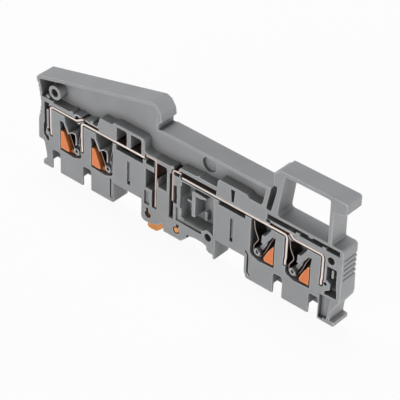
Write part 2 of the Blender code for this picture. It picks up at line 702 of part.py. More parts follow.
def lever_cavity():
    """Room for the lever and its blade behind the front wall."""
    x, z = PIVOT_X, PIVOT_Z
    tools = [
        prism("blade_room", [(x + 0.9, z), (x + 0.9, z + BLADE_R + 0.2)]
              + arc(x, z, BLADE_R + 0.35, 90, 172, 14) + [(x - 9.6, z)], FRONT_WALL, FLOOR),
        prism("lever_room", rounded([
            (x - 10.3, FOOT_Z - 1), (x + 0.9, FOOT_Z - 1), (x + 0.9, z + 2.1),
            (x - 9.0, z + 2.6), (x - 10.3, z + 1.2, 0.6),
        ]), FRONT_WALL, FLOOR),
        disc("boss_room", x, z, LEVER_BOSS_R + 0.3, FRONT_WALL, FLOOR, 26),
    ]
    finger = rounded([
        (x - 9.3, FOOT_Z - 1),
        (x - 9.2, FOOT_Z),
        (x - 7.5, -14.48),
        (x - 5.9, -13.88),
        (x - 4.9, -13.08),
        (x - 4.3, -12.48, 0.3),
        (x - 4.0, -12.78, 0.3),
        (x - 3.9, FOOT_Z - 1),
    ])
    tools.append(prism("finger_notch", finger, -1, FRONT_WALL + 0.1))
    for hole_x, lean in ((x, 0.5), (x - 8.96, -0.35)):
        tools.append(disc("keyhole", hole_x, z, 1.0, -1, FRONT_WALL + 0.1, 24))
        neck = strip([(hole_x, z), (hole_x + lean, z + 1.8)], 0.4, 0.4)
        tools.append(prism("keyhole_neck", neck, -1, FRONT_WALL + 0.1))
    tools.append(disc("back_bearing", x, z, TRUNNION_R + FINE_GAP, FLOOR - 0.1,
                      BODY_DEPTH + 1, 24))
    tools.append(prism("small_notch", [(-3.65, -12.8), (-2.9, -12.3), (-2.9, -11.9), (-3.65, -11.9)],
                       -1, 1.2))
    return tools


def disconnect_lever():
    x, z = PIVOT_X, PIVOT_Z
    y0 = FRONT_WALL + GAP
    y1 = FLOOR - GAP
    body = prism("disconnect_lever", lever_outline(), y0, y1)
    pins = [
        disc("pin", x, z, TRUNNION_R, 0.1, y0 + 0.5, 20),
        disc("pin", x, z, TRUNNION_R, y1 - 0.5, BODY_DEPTH - 0.1, 20),
    ]
    join(body, pins)
    slot_y0 = LEVER_MIDDLE_Y - BLADE_THICK / 2 - FINE_GAP
    slot_y1 = LEVER_MIDDLE_Y + BLADE_THICK / 2 + FINE_GAP
    slot = prism("slot", box(x - 7.5, x - 2.06, z - 0.66, z + LEVER_BOSS_R + 1), slot_y0, slot_y1)
    return cut(body, [slot])


def knife_blade():
    """A flat copper blade that bridges the two contacts when the lever is closed."""
    x, z = PIVOT_X, PIVOT_Z
    left = x - 7.38
    start = 90 + math.degrees(math.asin(0.42 / BLADE_R))
    end = math.degrees(math.acos((left - x) / BLADE_R))
    neck_z = z + LEVER_BOSS_R + 0.3
    outline = [
        (x - 0.42, neck_z), (x - 0.42, z + BLADE_R * math.sin(math.radians(start)) - 0.4),
    ] + arc(x, z, BLADE_R, start + 2, end, 12) + [
        (left, z - 0.54), (x - 2.18, z - 0.54), (x - 2.18, neck_z),
    ]
    half = BLADE_THICK / 2
    return prism("knife_blade", outline, LEVER_MIDDLE_Y - half, LEVER_MIDDLE_Y + half)


def pusher(name, leg, side):
    """An orange push button: a wedge in the clamp and a square stem down its well."""
    if side > 0:
        head = [(3.47, -7.0), (6.15, -7.0), (6.25, -6.3), (5.7, -4.9), (4.35, -1.85),
                (3.47, -1.85)]
    else:
        head = [(3.47, -7.0), (6.1, -7.0), (6.2, -6.2), (5.1, -3.9), (3.8, -1.85),
                (3.47, -1.85)]
    near = NOTCH_FAR + 0.85 + GAP
    far = NOTCH_FAR + 3.75 - GAP
    body = prism(name, rounded([p + (0.15,) for p in clamp_outline(leg, side, head)], 2),
                 0.05, FLOOR - GAP)
    stem = clamp_outline(leg, side, [
        (near, FOOT_Z + 1.2 + PUSHER_TRAVEL), (near, -6.2), (far - 0.6, -6.2), (far, -7.3),
        (far, FOOT_Z + 1.2 + PUSHER_TRAVEL),
    ])
    return join(body, [prism("stem", stem, FRONT_WALL + GAP, FLOOR - GAP)])


def clamp_spring(name, leg, side):
    """A leaf spring bent round its boss, with its clamping end beside the bar leg."""
    boss = (8.4, -5.9)
    loop = SPRING_BOSS_R + SPRING_THICK / 2 + FINE_GAP
    around = arc(boss[0], boss[1], loop, 20, -150, 9)
    if side > 0:
        upper = [(9.95, 2.55), (9.65, -0.3), (9.2, -2.2), (9.15, -2.8), (9.6, -4.6)]
    else:
        upper = [(9.85, 2.3), (9.5, 0.0), (8.45, -2.0), (8.45, -2.7), (9.65, -4.7)]
    limb = [(6.75, -5.6), (6.1, -4.2), (5.3, -2.2), (4.35, -0.15), (3.7, 0.2), (3.0, -0.1),
            (0.75, -3.2)]
    half = SPRING_THICK / 2
    whole = strip(clamp_outline(leg, side, upper + around + limb), half, half)
    wide = strip(clamp_outline(leg, side, upper + around), half, half)
    body = prism(name, whole, FRONT_WALL + FINE_GAP, 3.65)
    return join(body, [prism("wide", wide, 0.55, 3.85)])


def housing():
    """The moulded grey housing with every recess of its open side."""
    body = prism("housing", housing_outline(), 0, BODY_DEPTH)
    bosses, bore = pocket_boss()
    end_tools, nub = end_details()
    middle_tools, centre, islands = middle_recesses()
    clamp_tools = []
    arms = []
    eyes = []
    for _, leg, side in CLAMPS:
        clamp_tools += clamp_cuts(leg, side)
        pieces, eye = clamp_arm(leg, side)
        arms += pieces
        eyes.append(eye)
    round_hole = middle_tools.pop()
    cut(body, upper_recesses() + [latch_window(), centre])
    cut(body, clamp_tools)
    join(body, bosses + islands + arms)
    cut(body, end_tools)
    join(body, [nub])
    cut(body, middle_tools + bridge_shafts() + bar_channels() + contact_channels()
        + lever_cavity() + eyes + [bore, round_hole])
    pegs = []
    for x, z in ((2.89, -9.34), (RIGHT_OUTER + 2.3, 3.2), (LEFT_OUTER + 1.5, 8.1)):
        pegs.append(disc("peg", x, z, 0.8, BODY_DEPTH - 0.3, BODY_DEPTH + 1.0, 20))
    return join(body, pegs)


def material(name, colour, roughness, metallic=0.0):
    mat = bpy.data.materials.new(name)
    mat.use_nodes = True
    shader = mat.node_tree.nodes["Principled BSDF"]
    shader.inputs["Base Color"].default_value = colour + (1.0,)
    shader.inputs["Roughness"].default_value = roughness
    shader.inputs["Metallic"].default_value = metallic
    return mat


GREY = material("grey_plastic", (0.30, 0.31, 0.31), 0.6)
ORANGE = material("orange_plastic", (0.74, 0.22, 0.065), 0.5)
TINNED = material("tinned_copper", (0.87, 0.75, 0.68), 0.3, 1.0)
COPPER = material("bare_copper", (0.72, 0.45, 0.33), 0.35, 1.0)
STEEL = material("spring_steel", (0.62, 0.55, 0.52), 0.3, 1.0)


def finish(obj, look, pivot=None):
    """Move a piece to metres about the rail seat, with its origin on its own joint."""
    if pivot is None:
        pivot = (RAIL_MID, BODY_DEPTH / 2, SEAT_Z)
    bm = bmesh.new()
    bm.from_mesh(obj.data)
    bmesh.ops.remove_doubles(bm, verts=bm.verts, dist=0.0001)
    for vert in bm.verts:
        vert.co = [(vert.co[i] - pivot[i]) / 1000 for i in range(3)]
    for face in bm.faces:
        face.smooth = True
    bm.to_mesh(obj.data)
    bm.free()
    for edge in obj.data.edges:
        edge.use_edge_sharp = False
    origin = (RAIL_MID, BODY_DEPTH / 2, SEAT_Z)
    obj.location = [(pivot[i] - origin[i]) / 1000 for i in range(3)]
    obj.data.set_sharp_from_angle(angle=math.radians(32))
    obj.data.materials.clear()
    obj.data.materials.append(look)


def build():
    for obj in list(bpy.data.objects):
        bpy.data.objects.remove(obj)
    finish(housing(), GREY)
    for key in ("outer_left", "inner_left", "inner_right", "outer_right"):
        finish(bar(key), TINNED)
    for name in ("contact_left", "contact_right"):
        finish(contact(name), TINNED)
    pivot = (PIVOT_X, BODY_DEPTH / 2, PIVOT_Z)
    finish(disconnect_lever(), ORANGE, pivot)
    finish(knife_blade(), COPPER, pivot)
    for key, leg, side in CLAMPS:
        place = (leg + side * 5.2, BODY_DEPTH / 2, FOOT_Z)
        finish(pusher("pusher_" + key, leg, side), ORANGE, place)
        finish(clamp_spring("spring_" + key, leg, side), STEEL)


build()
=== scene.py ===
# %% [markdown]
# # A disconnect terminal block, dressed for its picture
#
# The real object is a thin slice of moulded grey plastic that clips onto a metal rail. One long
# side is open, so its copper bars, leaf springs and orange buttons can be seen. The shapes come
# from the part's own solids. This lesson gives them finishes, soft edges, light and a camera.

# %% Load the part as a fixed frame
import bpy
import bmesh
import json
import math
import numpy as np
from mathutils import Matrix, Vector

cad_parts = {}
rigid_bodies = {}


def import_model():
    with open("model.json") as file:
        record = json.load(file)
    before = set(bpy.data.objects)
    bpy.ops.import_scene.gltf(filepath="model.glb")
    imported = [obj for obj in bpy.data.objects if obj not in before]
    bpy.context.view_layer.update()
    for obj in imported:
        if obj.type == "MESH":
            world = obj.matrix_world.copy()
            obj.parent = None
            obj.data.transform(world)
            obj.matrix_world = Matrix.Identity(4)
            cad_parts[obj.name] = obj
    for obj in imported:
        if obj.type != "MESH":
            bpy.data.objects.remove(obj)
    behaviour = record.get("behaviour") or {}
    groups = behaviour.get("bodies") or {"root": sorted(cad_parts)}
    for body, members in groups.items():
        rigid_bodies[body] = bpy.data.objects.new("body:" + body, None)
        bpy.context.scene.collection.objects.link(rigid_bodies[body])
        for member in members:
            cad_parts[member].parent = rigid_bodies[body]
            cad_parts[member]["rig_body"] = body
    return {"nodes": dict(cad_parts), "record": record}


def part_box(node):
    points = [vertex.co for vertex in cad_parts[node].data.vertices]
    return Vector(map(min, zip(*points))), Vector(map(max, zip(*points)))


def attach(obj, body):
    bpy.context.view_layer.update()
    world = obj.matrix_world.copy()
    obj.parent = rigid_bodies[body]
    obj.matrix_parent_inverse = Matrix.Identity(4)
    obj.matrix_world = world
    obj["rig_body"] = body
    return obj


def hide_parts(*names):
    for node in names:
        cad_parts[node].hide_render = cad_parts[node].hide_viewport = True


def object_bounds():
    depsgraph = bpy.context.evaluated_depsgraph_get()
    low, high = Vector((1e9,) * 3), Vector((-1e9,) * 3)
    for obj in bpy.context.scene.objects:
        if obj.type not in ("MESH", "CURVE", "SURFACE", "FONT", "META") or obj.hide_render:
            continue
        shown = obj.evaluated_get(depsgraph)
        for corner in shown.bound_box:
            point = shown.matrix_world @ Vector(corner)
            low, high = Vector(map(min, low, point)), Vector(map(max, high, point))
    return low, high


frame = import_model()
CAD_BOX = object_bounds()
NODES = frame["nodes"]
SCENE = bpy.context.scene
SCENE.view_settings.view_transform = "Standard"
MM = 0.001
# The open side and the ends of the back bosses, in mm.
FRONT = CAD_BOX[0][1] / MM
BACK = CAD_BOX[1][1] / MM
print("solids:", len(NODES))
print("box in mm:", [[round(v / MM, 1) for v in corner] for corner in CAD_BOX])

# %% [markdown]
# ## The camera
#
# A photograph of a thin part is easiest to match by its directions. We write the three axes of
# the view, right, up and forward, as unit vectors. Then we put the camera back along the forward
# axis. A long lens keeps parallel edges nearly parallel, as in a catalogue picture.

# %% Camera at the photograph's view
RIGHT = Vector((0.75169, 0.658878, 0.029002))
UP = Vector((-0.413577, 0.436668, 0.798921))
FORWARD = Vector((-0.513727, 0.612536, -0.600736))
DISTANCE = 0.4692154
AIM = Vector((-4.5399, -2.49633, -13.79471)) * MM
LENS, SENSOR = 183.374, 36
NEAR_CLIP, FAR_CLIP = 0.01, 20


def place_camera():
    data = bpy.data.cameras.new("catalogue_lens")
    data.lens = LENS
    data.sensor_width = SENSOR
    data.clip_start = NEAR_CLIP
    data.clip_end = FAR_CLIP
    camera = bpy.data.objects.new("catalogue_camera", data)
    SCENE.collection.objects.link(camera)
    turn = Matrix((RIGHT, UP, -FORWARD)).transposed().to_4x4()
    camera.matrix_world = Matrix.Translation(AIM - FORWARD * DISTANCE) @ turn
    SCENE.camera = camera
    return camera


CAMERA = place_camera()
print("camera stands", round(CAMERA.location.length, 3), "m from the middle of the rail seat")

# %% [markdown]
# ## Floor, backdrop and light
#
# The picture has a white ground. We get it from the colour of the floor and of the world that the
# camera sees, never from stronger lamps, so greys stay the greys that we write. The lamps are
# four large soft panels round the block and one above it, as in a small photo tent. Each is nearly
# square to one side of the block, so deep pockets stay dark.

# %% White ground
WHITE = (1, 1, 1, 1)
FILL_TINT, FILL_STRENGTH = (0.95, 0.97, 1.0, 1), 0.12
CARD_GREY = (0.9, 0.9, 0.9, 1)
CARD_GLOW = 0.93
FLOOR_HALF, FLOOR_DROP = 1.6, 0.0004


def coloured(tree, kind, colour):
    """A shader node with its colour set."""
    made = tree.nodes.new(kind)
    made.inputs["Color"].default_value = colour
    return made


def seen_share(tree, *rays):
    """One for a ray of any of these kinds, zero for every other ray."""
    path = tree.nodes.new("ShaderNodeLightPath")
    share = path.outputs[rays[0]]
    for ray in rays[1:]:
        either = tree.nodes.new("ShaderNodeMath")
        either.operation = "MAXIMUM"
        tree.links.new(share, either.inputs[0])
        tree.links.new(path.outputs[ray], either.inputs[1])
        share = either.outputs[0]
    return share


def blend_out(tree, share, plain, seen, out):
    """Send the plain shader to the output, and the other one by the given share."""
    mix = tree.nodes.new("ShaderNodeMixShader")
    tree.links.new(share, mix.inputs["Fac"])
    tree.links.new(plain.outputs[0], mix.inputs[1])
    tree.links.new(seen.outputs[0], mix.inputs[2])
    tree.links.new(mix.outputs[0], out.inputs["Surface"])


def world_light():
    world = bpy.data.worlds.new("photo_tent")
    SCENE.world = world
    world.use_nodes = True
    tree = world.node_tree
    tree.nodes.clear()
    out = tree.nodes.new("ShaderNodeOutputWorld")
    fill = coloured(tree, "ShaderNodeBackground", FILL_TINT)
    fill.inputs["Strength"].default_value = FILL_STRENGTH
    white = coloured(tree, "ShaderNodeBackground", WHITE)
    share = seen_share(tree, "Is Camera Ray", "Is Glossy Ray", "Is Transmission Ray")
    blend_out(tree, share, fill, white, out)


def floor_material():
    mat = bpy.data.materials.new("white_card")
    mat.use_nodes = True
    tree = mat.node_tree
    tree.nodes.clear()
    out = tree.nodes.new("ShaderNodeOutputMaterial")
    card = coloured(tree, "ShaderNodeBsdfDiffuse", CARD_GREY)
    glow = coloured(tree, "ShaderNodeEmission", WHITE)
    amount = tree.nodes.new("ShaderNodeMath")
    amount.operation = "MULTIPLY"
    amount.inputs[1].default_value = CARD_GLOW
    tree.links.new(seen_share(tree, "Is Camera Ray", "Is Glossy Ray"), amount.inputs[0])
    blend_out(tree, amount.outputs[0], card, glow, out)
    return mat


def lay_floor():
    half = FLOOR_HALF
    z = CAD_BOX[0][2] - FLOOR_DROP
    mesh = bpy.data.meshes.new("floor")
    corners = [(-half, -half, z), (half, -half, z), (half, half, z), (-half, half, z)]
    mesh.from_pydata(corners, [], [(0, 1, 2, 3)])
    mesh.materials.append(floor_material())
    floor = bpy.data.objects.new("floor", mesh)
    SCENE.collection.objects.link(floor)
    return z


world_light()
FLOOR_HEIGHT = lay_floor()
print("floor lies at", round(FLOOR_HEIGHT / MM, 2), "mm")

# %% Soft panels of light
MIDDLE = (0, 0, -0.012)


def panel(name, place, size, watts, tint=(1, 1, 1)):
    """A round soft lamp that faces the middle of the block."""
    data = bpy.data.lights.new(name, "AREA")
    data.shape = "DISK"
    data.size = size
    data.energy = watts
    data.color = tint
    lamp = bpy.data.objects.new(name, data)
    lamp.location = place
    lamp.rotation_euler = (Vector(MIDDLE) - Vector(place)).to_track_quat("-Z", "Y").to_euler()
    SCENE.collection.objects.link(lamp)
    return lamp


LAMPS = [
    panel("top_panel", (-0.1, 0.12, 0.6), 0.35, 1.75, (0.93, 0.95, 1.0)),
    panel("front_panel", (0.0, -0.6, 0.06), 0.45, 2.62),
    panel("right_panel", (0.6, 0.0, 0.03), 0.3, 2.3),
    panel("left_panel", (-0.6, 0.05, 0.1), 0.3, 1.2),
    panel("back_panel", (-0.05, 0.6, 0.0), 0.45, 2.0),
]
print("lamps:", [lamp.name for lamp in LAMPS])

# %% [markdown]
# ## Finishes
#
# Every finish is a small tree of shader nodes. Noise at the right scale gives each surface what
# the real one shows: a fine matt grain on the moulded grey, faint flow marks on the orange, and
# rolling lines on the strips. Numbers that are the same all over go straight on the shader.

# %% A helper for node trees
class Finish:
    """One material with a Principled shader and short calls to add nodes."""

    def __init__(self, name, roughness, metallic=0.0):
        self.material = bpy.data.materials.new(name)
        self.material.use_nodes = True
        self.tree = self.material.node_tree
        self.shader = self.tree.nodes["Principled BSDF"]
        self.shader.inputs["Roughness"].default_value = roughness
        self.shader.inputs["Metallic"].default_value = metallic
        self.place = self.add("ShaderNodeTexCoord").outputs["Object"]

    def add(self, kind, **sockets):
        made = self.tree.nodes.new(kind)
        for key, value in sockets.items():
            made.inputs[key].default_value = value
        return made

    def link(self, source, target):
        self.tree.links.new(source, target)

    def noise(self, scale, detail, stretch=(1, 1, 1)):
        mapping = self.add("ShaderNodeMapping", Scale=stretch)
        made = self.add("ShaderNodeTexNoise", Scale=scale, Detail=detail)
        self.link(self.place, mapping.inputs["Vector"])
        self.link(mapping.outputs["Vector"], made.inputs["Vector"])
        return made.outputs["Fac"]

    def ramp(self, source, stops):
        made = self.add("ShaderNodeValToRGB")
        for element, (position, colour) in zip(made.color_ramp.elements, stops):
            element.position = position
            element.color = tuple(colour) + (1,)
        self.link(source, made.inputs["Fac"])
        return made.outputs["Color"]

    def colour(self, source):
        self.link(source, self.shader.inputs["Base Color"])

    def rough(self, source, low, high):
        made = self.add("ShaderNodeMapRange")
        made.inputs["To Min"].default_value = low
        made.inputs["To Max"].default_value = high
        self.link(source, made.inputs["Value"])
        self.link(made.outputs["Result"], self.shader.inputs["Roughness"])

    def bump(self, source, strength, distance):
        made = self.add("ShaderNodeBump", Strength=strength, Distance=distance)
        self.link(source, made.inputs["Height"])
        self.link(made.outputs["Normal"], self.shader.inputs["Normal"])


print("finish helper has", len([name for name in vars(Finish) if name[0] != "_"]), "calls")

# %% [markdown]
# ### Painted shade in the recesses, edge tones on the edges
#
# Two things draw the shape of a moulding. Deep pockets are painted a little darker: painted shade,
# laid on top of the shade that the lamps give. Outward edges get their own tone: on the plastics
# and the spring steel it is paler, a painted highlight, and on the copper strips it is a darker
# brown, where the copper shows. The Ambient Occlusion node finds both. Outside the surface it
# measures how closed in a point is. With Inside on, it looks into the solid, and a point near an
# outward edge sees the next face close by. The results depend on the shape alone.

# %% Painted recess shade and edge tone
OPEN, SHUT = (1, 1, 1), (0, 0, 0)
RAYS = 12
MOTTLE = 420
BROAD_REACH, NARROW_REACH = 3.5, 0.8
NARROW_SHADE = 0.7


def near(finish, reach, inside):
    """One on an open flat face, towards zero in a closed hollow, or near an edge with inside on.
    """
    node = finish.add("ShaderNodeAmbientOcclusion", Distance=reach * MM)
    node.samples = RAYS
    node.inside = inside
    node.only_local = inside
    return node.outputs["AO"]


def mixed(finish, factor, one, two):
    """Colour one where the factor is zero, colour two where it is one."""
    mix = finish.add("ShaderNodeMix")
    mix.data_type = "RGBA"
    finish.link(factor, mix.inputs["Factor"])
    finish.link(one, mix.inputs["A"])
    finish.link(two, mix.inputs["B"])
    return mix.outputs["Result"]


def shaded(finish, colour, shade):
    """The colour multiplied by the shade."""
    mix = finish.add("ShaderNodeMix", Factor=1.0)
    mix.data_type = "RGBA"
    mix.blend_type = "MULTIPLY"
    finish.link(colour, mix.inputs["A"])
    finish.link(shade, mix.inputs["B"])
    return mix.outputs["Result"]


def edge_tone_and_painted_shade(finish, colour, edge, pocket_shade, reach):
    """The colour with its edge tone along outward edges and painted shade in its pockets."""
    # Edge tone: a painted highlight on the plastics and the steel, the copper's own brown on the
    # copper strips.
    edges = finish.ramp(near(finish, reach, True), [(0.5, OPEN), (0.85, SHUT)])
    tone = finish.ramp(finish.noise(MOTTLE, 2.0), [(0.3, edge[0]), (0.7, edge[1])])
    colour = mixed(finish, edges, colour, tone)
    # Painted shade: the colour is darkened where a point is closed in, over a broad reach and a
    # narrow one.
    broad = near(finish, BROAD_REACH, False)
    colour = shaded(finish, colour, finish.ramp(broad, [(0.3, (pocket_shade,) * 3), (0.88, OPEN)]))
    narrow = near(finish, NARROW_REACH, False)
    return shaded(finish, colour,
                  finish.ramp(narrow, [(0.1, (NARROW_SHADE,) * 3), (0.55, OPEN)]))


print("pockets are felt at", BROAD_REACH, "and", NARROW_REACH, "mm")

# %% [markdown]
# ### Plastics
#
# Polyamide comes out of the mould matt and very slightly cloudy. Two noises make it: a broad one
# for the clouds in the colour and the gloss, and a fine one for the grain of the mould. The
# buttons are orange, so that the hand finds them, and the lever is a yellower orange.

# %% Grey and orange moulded plastic
CLOUDS, GRAIN = 110, 5200
GRAIN_STRENGTH, GRAIN_HEIGHT = 0.25, 0.02
PLASTIC_HIGHLIGHT_REACH = 0.5


def moulded(name, low, high, edge, roughness, pocket_shade):
    finish = Finish(name, roughness)
    cloud = finish.noise(CLOUDS, 4.0)
    colour = finish.ramp(cloud, [(0.3, low), (0.7, high)])
    finish.colour(edge_tone_and_painted_shade(finish, colour, edge, pocket_shade, PLASTIC_HIGHLIGHT_REACH))
    finish.rough(cloud, roughness - 0.06, roughness + 0.08)
    finish.bump(finish.noise(GRAIN, 2.0), GRAIN_STRENGTH, GRAIN_HEIGHT * MM)
    return finish.material


# The edge pairs are paler than the body: a painted highlight along outward edges. The last number
# of each is the painted shade in a closed pocket.
GREY = moulded("moulded_grey", low=(0.272, 0.274, 0.278), high=(0.312, 0.314, 0.318),
               edge=((0.40, 0.405, 0.41), (0.50, 0.505, 0.51)), roughness=0.5, pocket_shade=0.36)
ORANGE = moulded("moulded_orange", low=(0.70, 0.165, 0.035), high=(0.84, 0.235, 0.06),
                 edge=((0.70, 0.28, 0.11), (0.80, 0.36, 0.16)), roughness=0.42, pocket_shade=0.5)
AMBER = moulded("moulded_amber", low=(0.74, 0.26, 0.05), high=(0.84, 0.33, 0.075),
                edge=((0.86, 0.42, 0.13), (0.92, 0.50, 0.18)), roughness=0.42, pocket_shade=0.7)
print("plastics:", GREY.name, ORANGE.name, AMBER.name)

# %% [markdown]
# ### Metals
#
# The bars are copper strip with a thin coat of tin. The colour is mixed by the way that a surface
# faces: the tin is bright on the face towards us, and the faces turned away are dark brown, partly
# the copper and partly painted shade for the narrow slots they stand in. At its corners the tin is
# thin and the brown copper shows. Fine rolling lines run along each strip: noise that is stretched
# along two axes and tight on one.

# %% Tinned strip, bare copper and spring steel
TOWARDS_FRONT = (0, -1, 0)
LINES, LINE_STRETCH = 900, (0.25, 6, 0.25)
LINE_STRENGTH, LINE_HEIGHT = 0.15, 0.01
# The painted shade of the metals at the bottom of a closed pocket.
METAL_PAINTED_SHADE = 0.5


def facing(finish, axis, low, high):
    """How much a surface faces along one axis of the object, from 0 to 1."""
    geometry = finish.add("ShaderNodeNewGeometry")
    dot = finish.add("ShaderNodeVectorMath")
    dot.operation = "DOT_PRODUCT"
    dot.inputs[1].default_value = axis
    span = finish.add("ShaderNodeMapRange")
    span.inputs["From Min"].default_value = low
    span.inputs["From Max"].default_value = high
    finish.link(geometry.outputs["Normal"], dot.inputs[0])
    finish.link(dot.outputs["Value"], span.inputs["Value"])
    return span.outputs["Result"]


def rolled(name, low, high, edge, roughness, side, edge_reach=0.38):
    """A strip metal. The edge and the side tones are pairs, from dark to light. The side tone is
    copper darkened by painted shade.
    """
    finish = Finish(name, roughness, 1.0)
    lines = finish.noise(LINES, 3.0, LINE_STRETCH)
    bright = finish.ramp(lines, [(0.3, low), (0.75, high)])
    # The faces turned away from the front are painted darker: copper brown with painted shade for
    # the slots they stand in.
    copper_and_painted_side_shade = finish.ramp(lines, [(0.3, side[0]), (0.75, side[1])])
    colour = mixed(finish, facing(finish, TOWARDS_FRONT, 0.3, 0.7), copper_and_painted_side_shade, bright)
    finish.colour(edge_tone_and_painted_shade(finish, colour, edge, METAL_PAINTED_SHADE, edge_reach))
    finish.rough(lines, roughness - 0.06, roughness + 0.12)
    finish.bump(lines, LINE_STRENGTH, LINE_HEIGHT * MM)
    return finish.material


TINNED = rolled("tinned_copper", low=(0.72, 0.64, 0.60), high=(0.90, 0.83, 0.79),
                edge=((0.30, 0.19, 0.14), (0.50, 0.36, 0.30)), roughness=0.32,
                side=((0.20, 0.14, 0.115), (0.34, 0.26, 0.23)))
COPPER = rolled("bare_copper", low=(0.62, 0.50, 0.45), high=(0.78, 0.67, 0.62),
                edge=((0.36, 0.20, 0.13), (0.50, 0.32, 0.24)), roughness=0.34,
                side=((0.24, 0.13, 0.09), (0.36, 0.22, 0.16)))
# The steel's edge tone is a little paler than its body: a painted highlight.
STEEL = rolled("spring_steel", low=(0.30, 0.25, 0.23), high=(0.52, 0.45, 0.42),
               edge=((0.34, 0.28, 0.25), (0.56, 0.48, 0.45)), roughness=0.34,
               side=((0.12, 0.10, 0.09), (0.24, 0.20, 0.18)), edge_reach=0.15)
print("metals:", TINNED.name, COPPER.name, STEEL.name)

# %% [markdown]
# ## Soft edges
#
# A moulded edge is never sharp: it has a tiny round that catches the light and draws a bright
# line. The solids have sharp edges, so each one gets a dressed copy with a bevel on its outward
# edges. One width for the whole moulding would tear it, because some of its ledges are thinner
# than two bevels. So each edge first measures its own room: how far it is to the next edge in
# the same face, and how the faces meet at its two ends. The bevel weight holds the result.

# %% How much room an edge has
SHARE = 0.45
AMPLE = 1.0
ALONG_EDGE = (0.0, 0.25, 0.5, 0.75, 1.0)
TINY = 1e-18


def room_at_ends(edge, chosen):
    """The widest bevel that the corners at both ends of the edge allow, in metres."""
    room = AMPLE
    for loop in edge.link_loops:
        for side, corner in ((loop.link_loop_prev, loop.vert),
                             (loop.link_loop_next, loop.link_loop_next.vert)):
            other = side.edge
            here = edge.other_vert(corner).co - corner.co
            there = other.other_vert(corner).co - corner.co
            angle = here.angle(there, 0.0)
            if other in chosen:
                reach = min(here.length, there.length) * math.tan(angle / 2)
            else:
                reach = there.length * math.sin(angle)
            room = min(room, SHARE * reach)
    return room


def room_across(face, chosen):
    """For each chosen edge of a face, a share of the way to the nearest edge it doesn't touch."""
    edges = list(face.edges)
    start = np.array([edge.verts[0].co for edge in edges])
    along = np.array([edge.verts[1].co for edge in edges]) - start
    squared = np.maximum((along ** 2).sum(axis=1), TINY)
    rooms = {}
    for index, edge in enumerate(edges):
        if edge not in chosen:
            continue
        apart = np.array([not set(edge.verts) & set(other.verts) for other in edges])
        if not apart.any():
            continue
        nearest = AMPLE
        for part in ALONG_EDGE:
            point = start[index] + part * along[index]
            t = np.clip(((point - start) * along).sum(axis=1) / squared, 0, 1)
            gap = np.linalg.norm(start + t[:, None] * along - point, axis=1)
            nearest = min(nearest, gap[apart].min())
        rooms[edge] = SHARE * nearest
    return rooms


print("an edge may take", SHARE, "of its room")

# %% [markdown]
# ### Carved details
#
# Some forms are finer in the picture than on the solids, so they are cut into the dressed copies.
# A hand pulls the block off its rail by the ribs on its right end. On the solid they are shallow
# notches. Here they become saw teeth with a flat upper side, so that each one throws its own
# shadow. The broad back carries the shallow round marks of the pins that push the moulding out of
# its mould. The right contact steps back into its slot at its lower end, where it meets the
# blade. Each cut is a prism and an exact boolean, made before the edges are rounded, so that the
# new edges get their own soft rounds.

# %% Tools that carve a dressed copy
def cutter(name, ring, y0, y1):
    """A prism through the block. The ring holds its (x, z) corners in mm."""
    count = len(ring)
    points = [(x * MM, y * MM, z * MM) for y in (y0, y1) for x, z in ring]
    faces = [tuple(range(count)), tuple(reversed(range(count, 2 * count)))]
    for one in range(count):
        two = (one + 1) % count
        faces.append((one, one + count, two + count, two))
    mesh = bpy.data.meshes.new(name)
    mesh.from_pydata(points, [], faces)
    bm = bmesh.new()
    bm.from_mesh(mesh)
    bmesh.ops.recalc_face_normals(bm, faces=bm.faces)
    bm.to_mesh(mesh)
    bm.free()
    tool = bpy.data.objects.new(name, mesh)
    SCENE.collection.objects.link(tool)
    return tool


def arc(x, z, radius, turns):
    """A corner on a circle for each turn, which is in radians. The rest is in mm."""
    return [(x + radius * math.cos(turn), z + radius * math.sin(turn)) for turn in turns]


def settle(piece):
    """Turn the result of the modifiers into the piece's own mesh."""
    bpy.context.view_layer.update()
    view = bpy.context.evaluated_depsgraph_get()
    done = bpy.data.meshes.new_from_object(piece.evaluated_get(view))
    piece.modifiers.clear()
    bm = bmesh.new()
    bm.from_mesh(done)
    bm.to_mesh(piece.data)
    bm.free()
    bpy.data.meshes.remove(done)


def carve(piece, tools):
    """Cut each tool out of the piece and throw the tool away."""
    for tool in tools:
        cut = piece.modifiers.new(tool.name, "BOOLEAN")
        cut.operation = "DIFFERENCE"
        cut.solver = "EXACT"
        cut.object = tool
    settle(piece)
    for tool in tools:
        bpy.data.objects.remove(tool)


print("carving helpers ready for", len(NODES), "solids")

# %% Ribs, pin marks and the step of the contact
CLEAR = 1
END_X = 36.93
RIB_HEIGHTS = [-9.53, -10.87, -12.21, -13.55, -14.89]
TOOTH_RING = [(-0.9, 0.04), (0.4, -0.74), (0.4, 0.16)]
TOOTH_START = FRONT + 0.7
TEETH = [cutter("tooth", [(END_X + x, z + up) for x, up in TOOTH_RING], TOOTH_START, BACK + CLEAR)
         for z in RIB_HEIGHTS]

MARK_PLACES = [(-52, -11), (-44, -24), (-33, -6), (-22, -20),
               (-7, -4), (8, -20), (18, -12), (33, -22)]
MARK_RADIUS, MARK_SIDES = 1.3, 28
MARK_BOTTOM = BACK - 1.2
MARK_TURNS = [2 * math.pi * side / MARK_SIDES for side in range(MARK_SIDES)]
MARKS = [cutter("mark", arc(x, z, MARK_RADIUS, MARK_TURNS), MARK_BOTTOM, BACK + CLEAR)
         for x, z in MARK_PLACES]

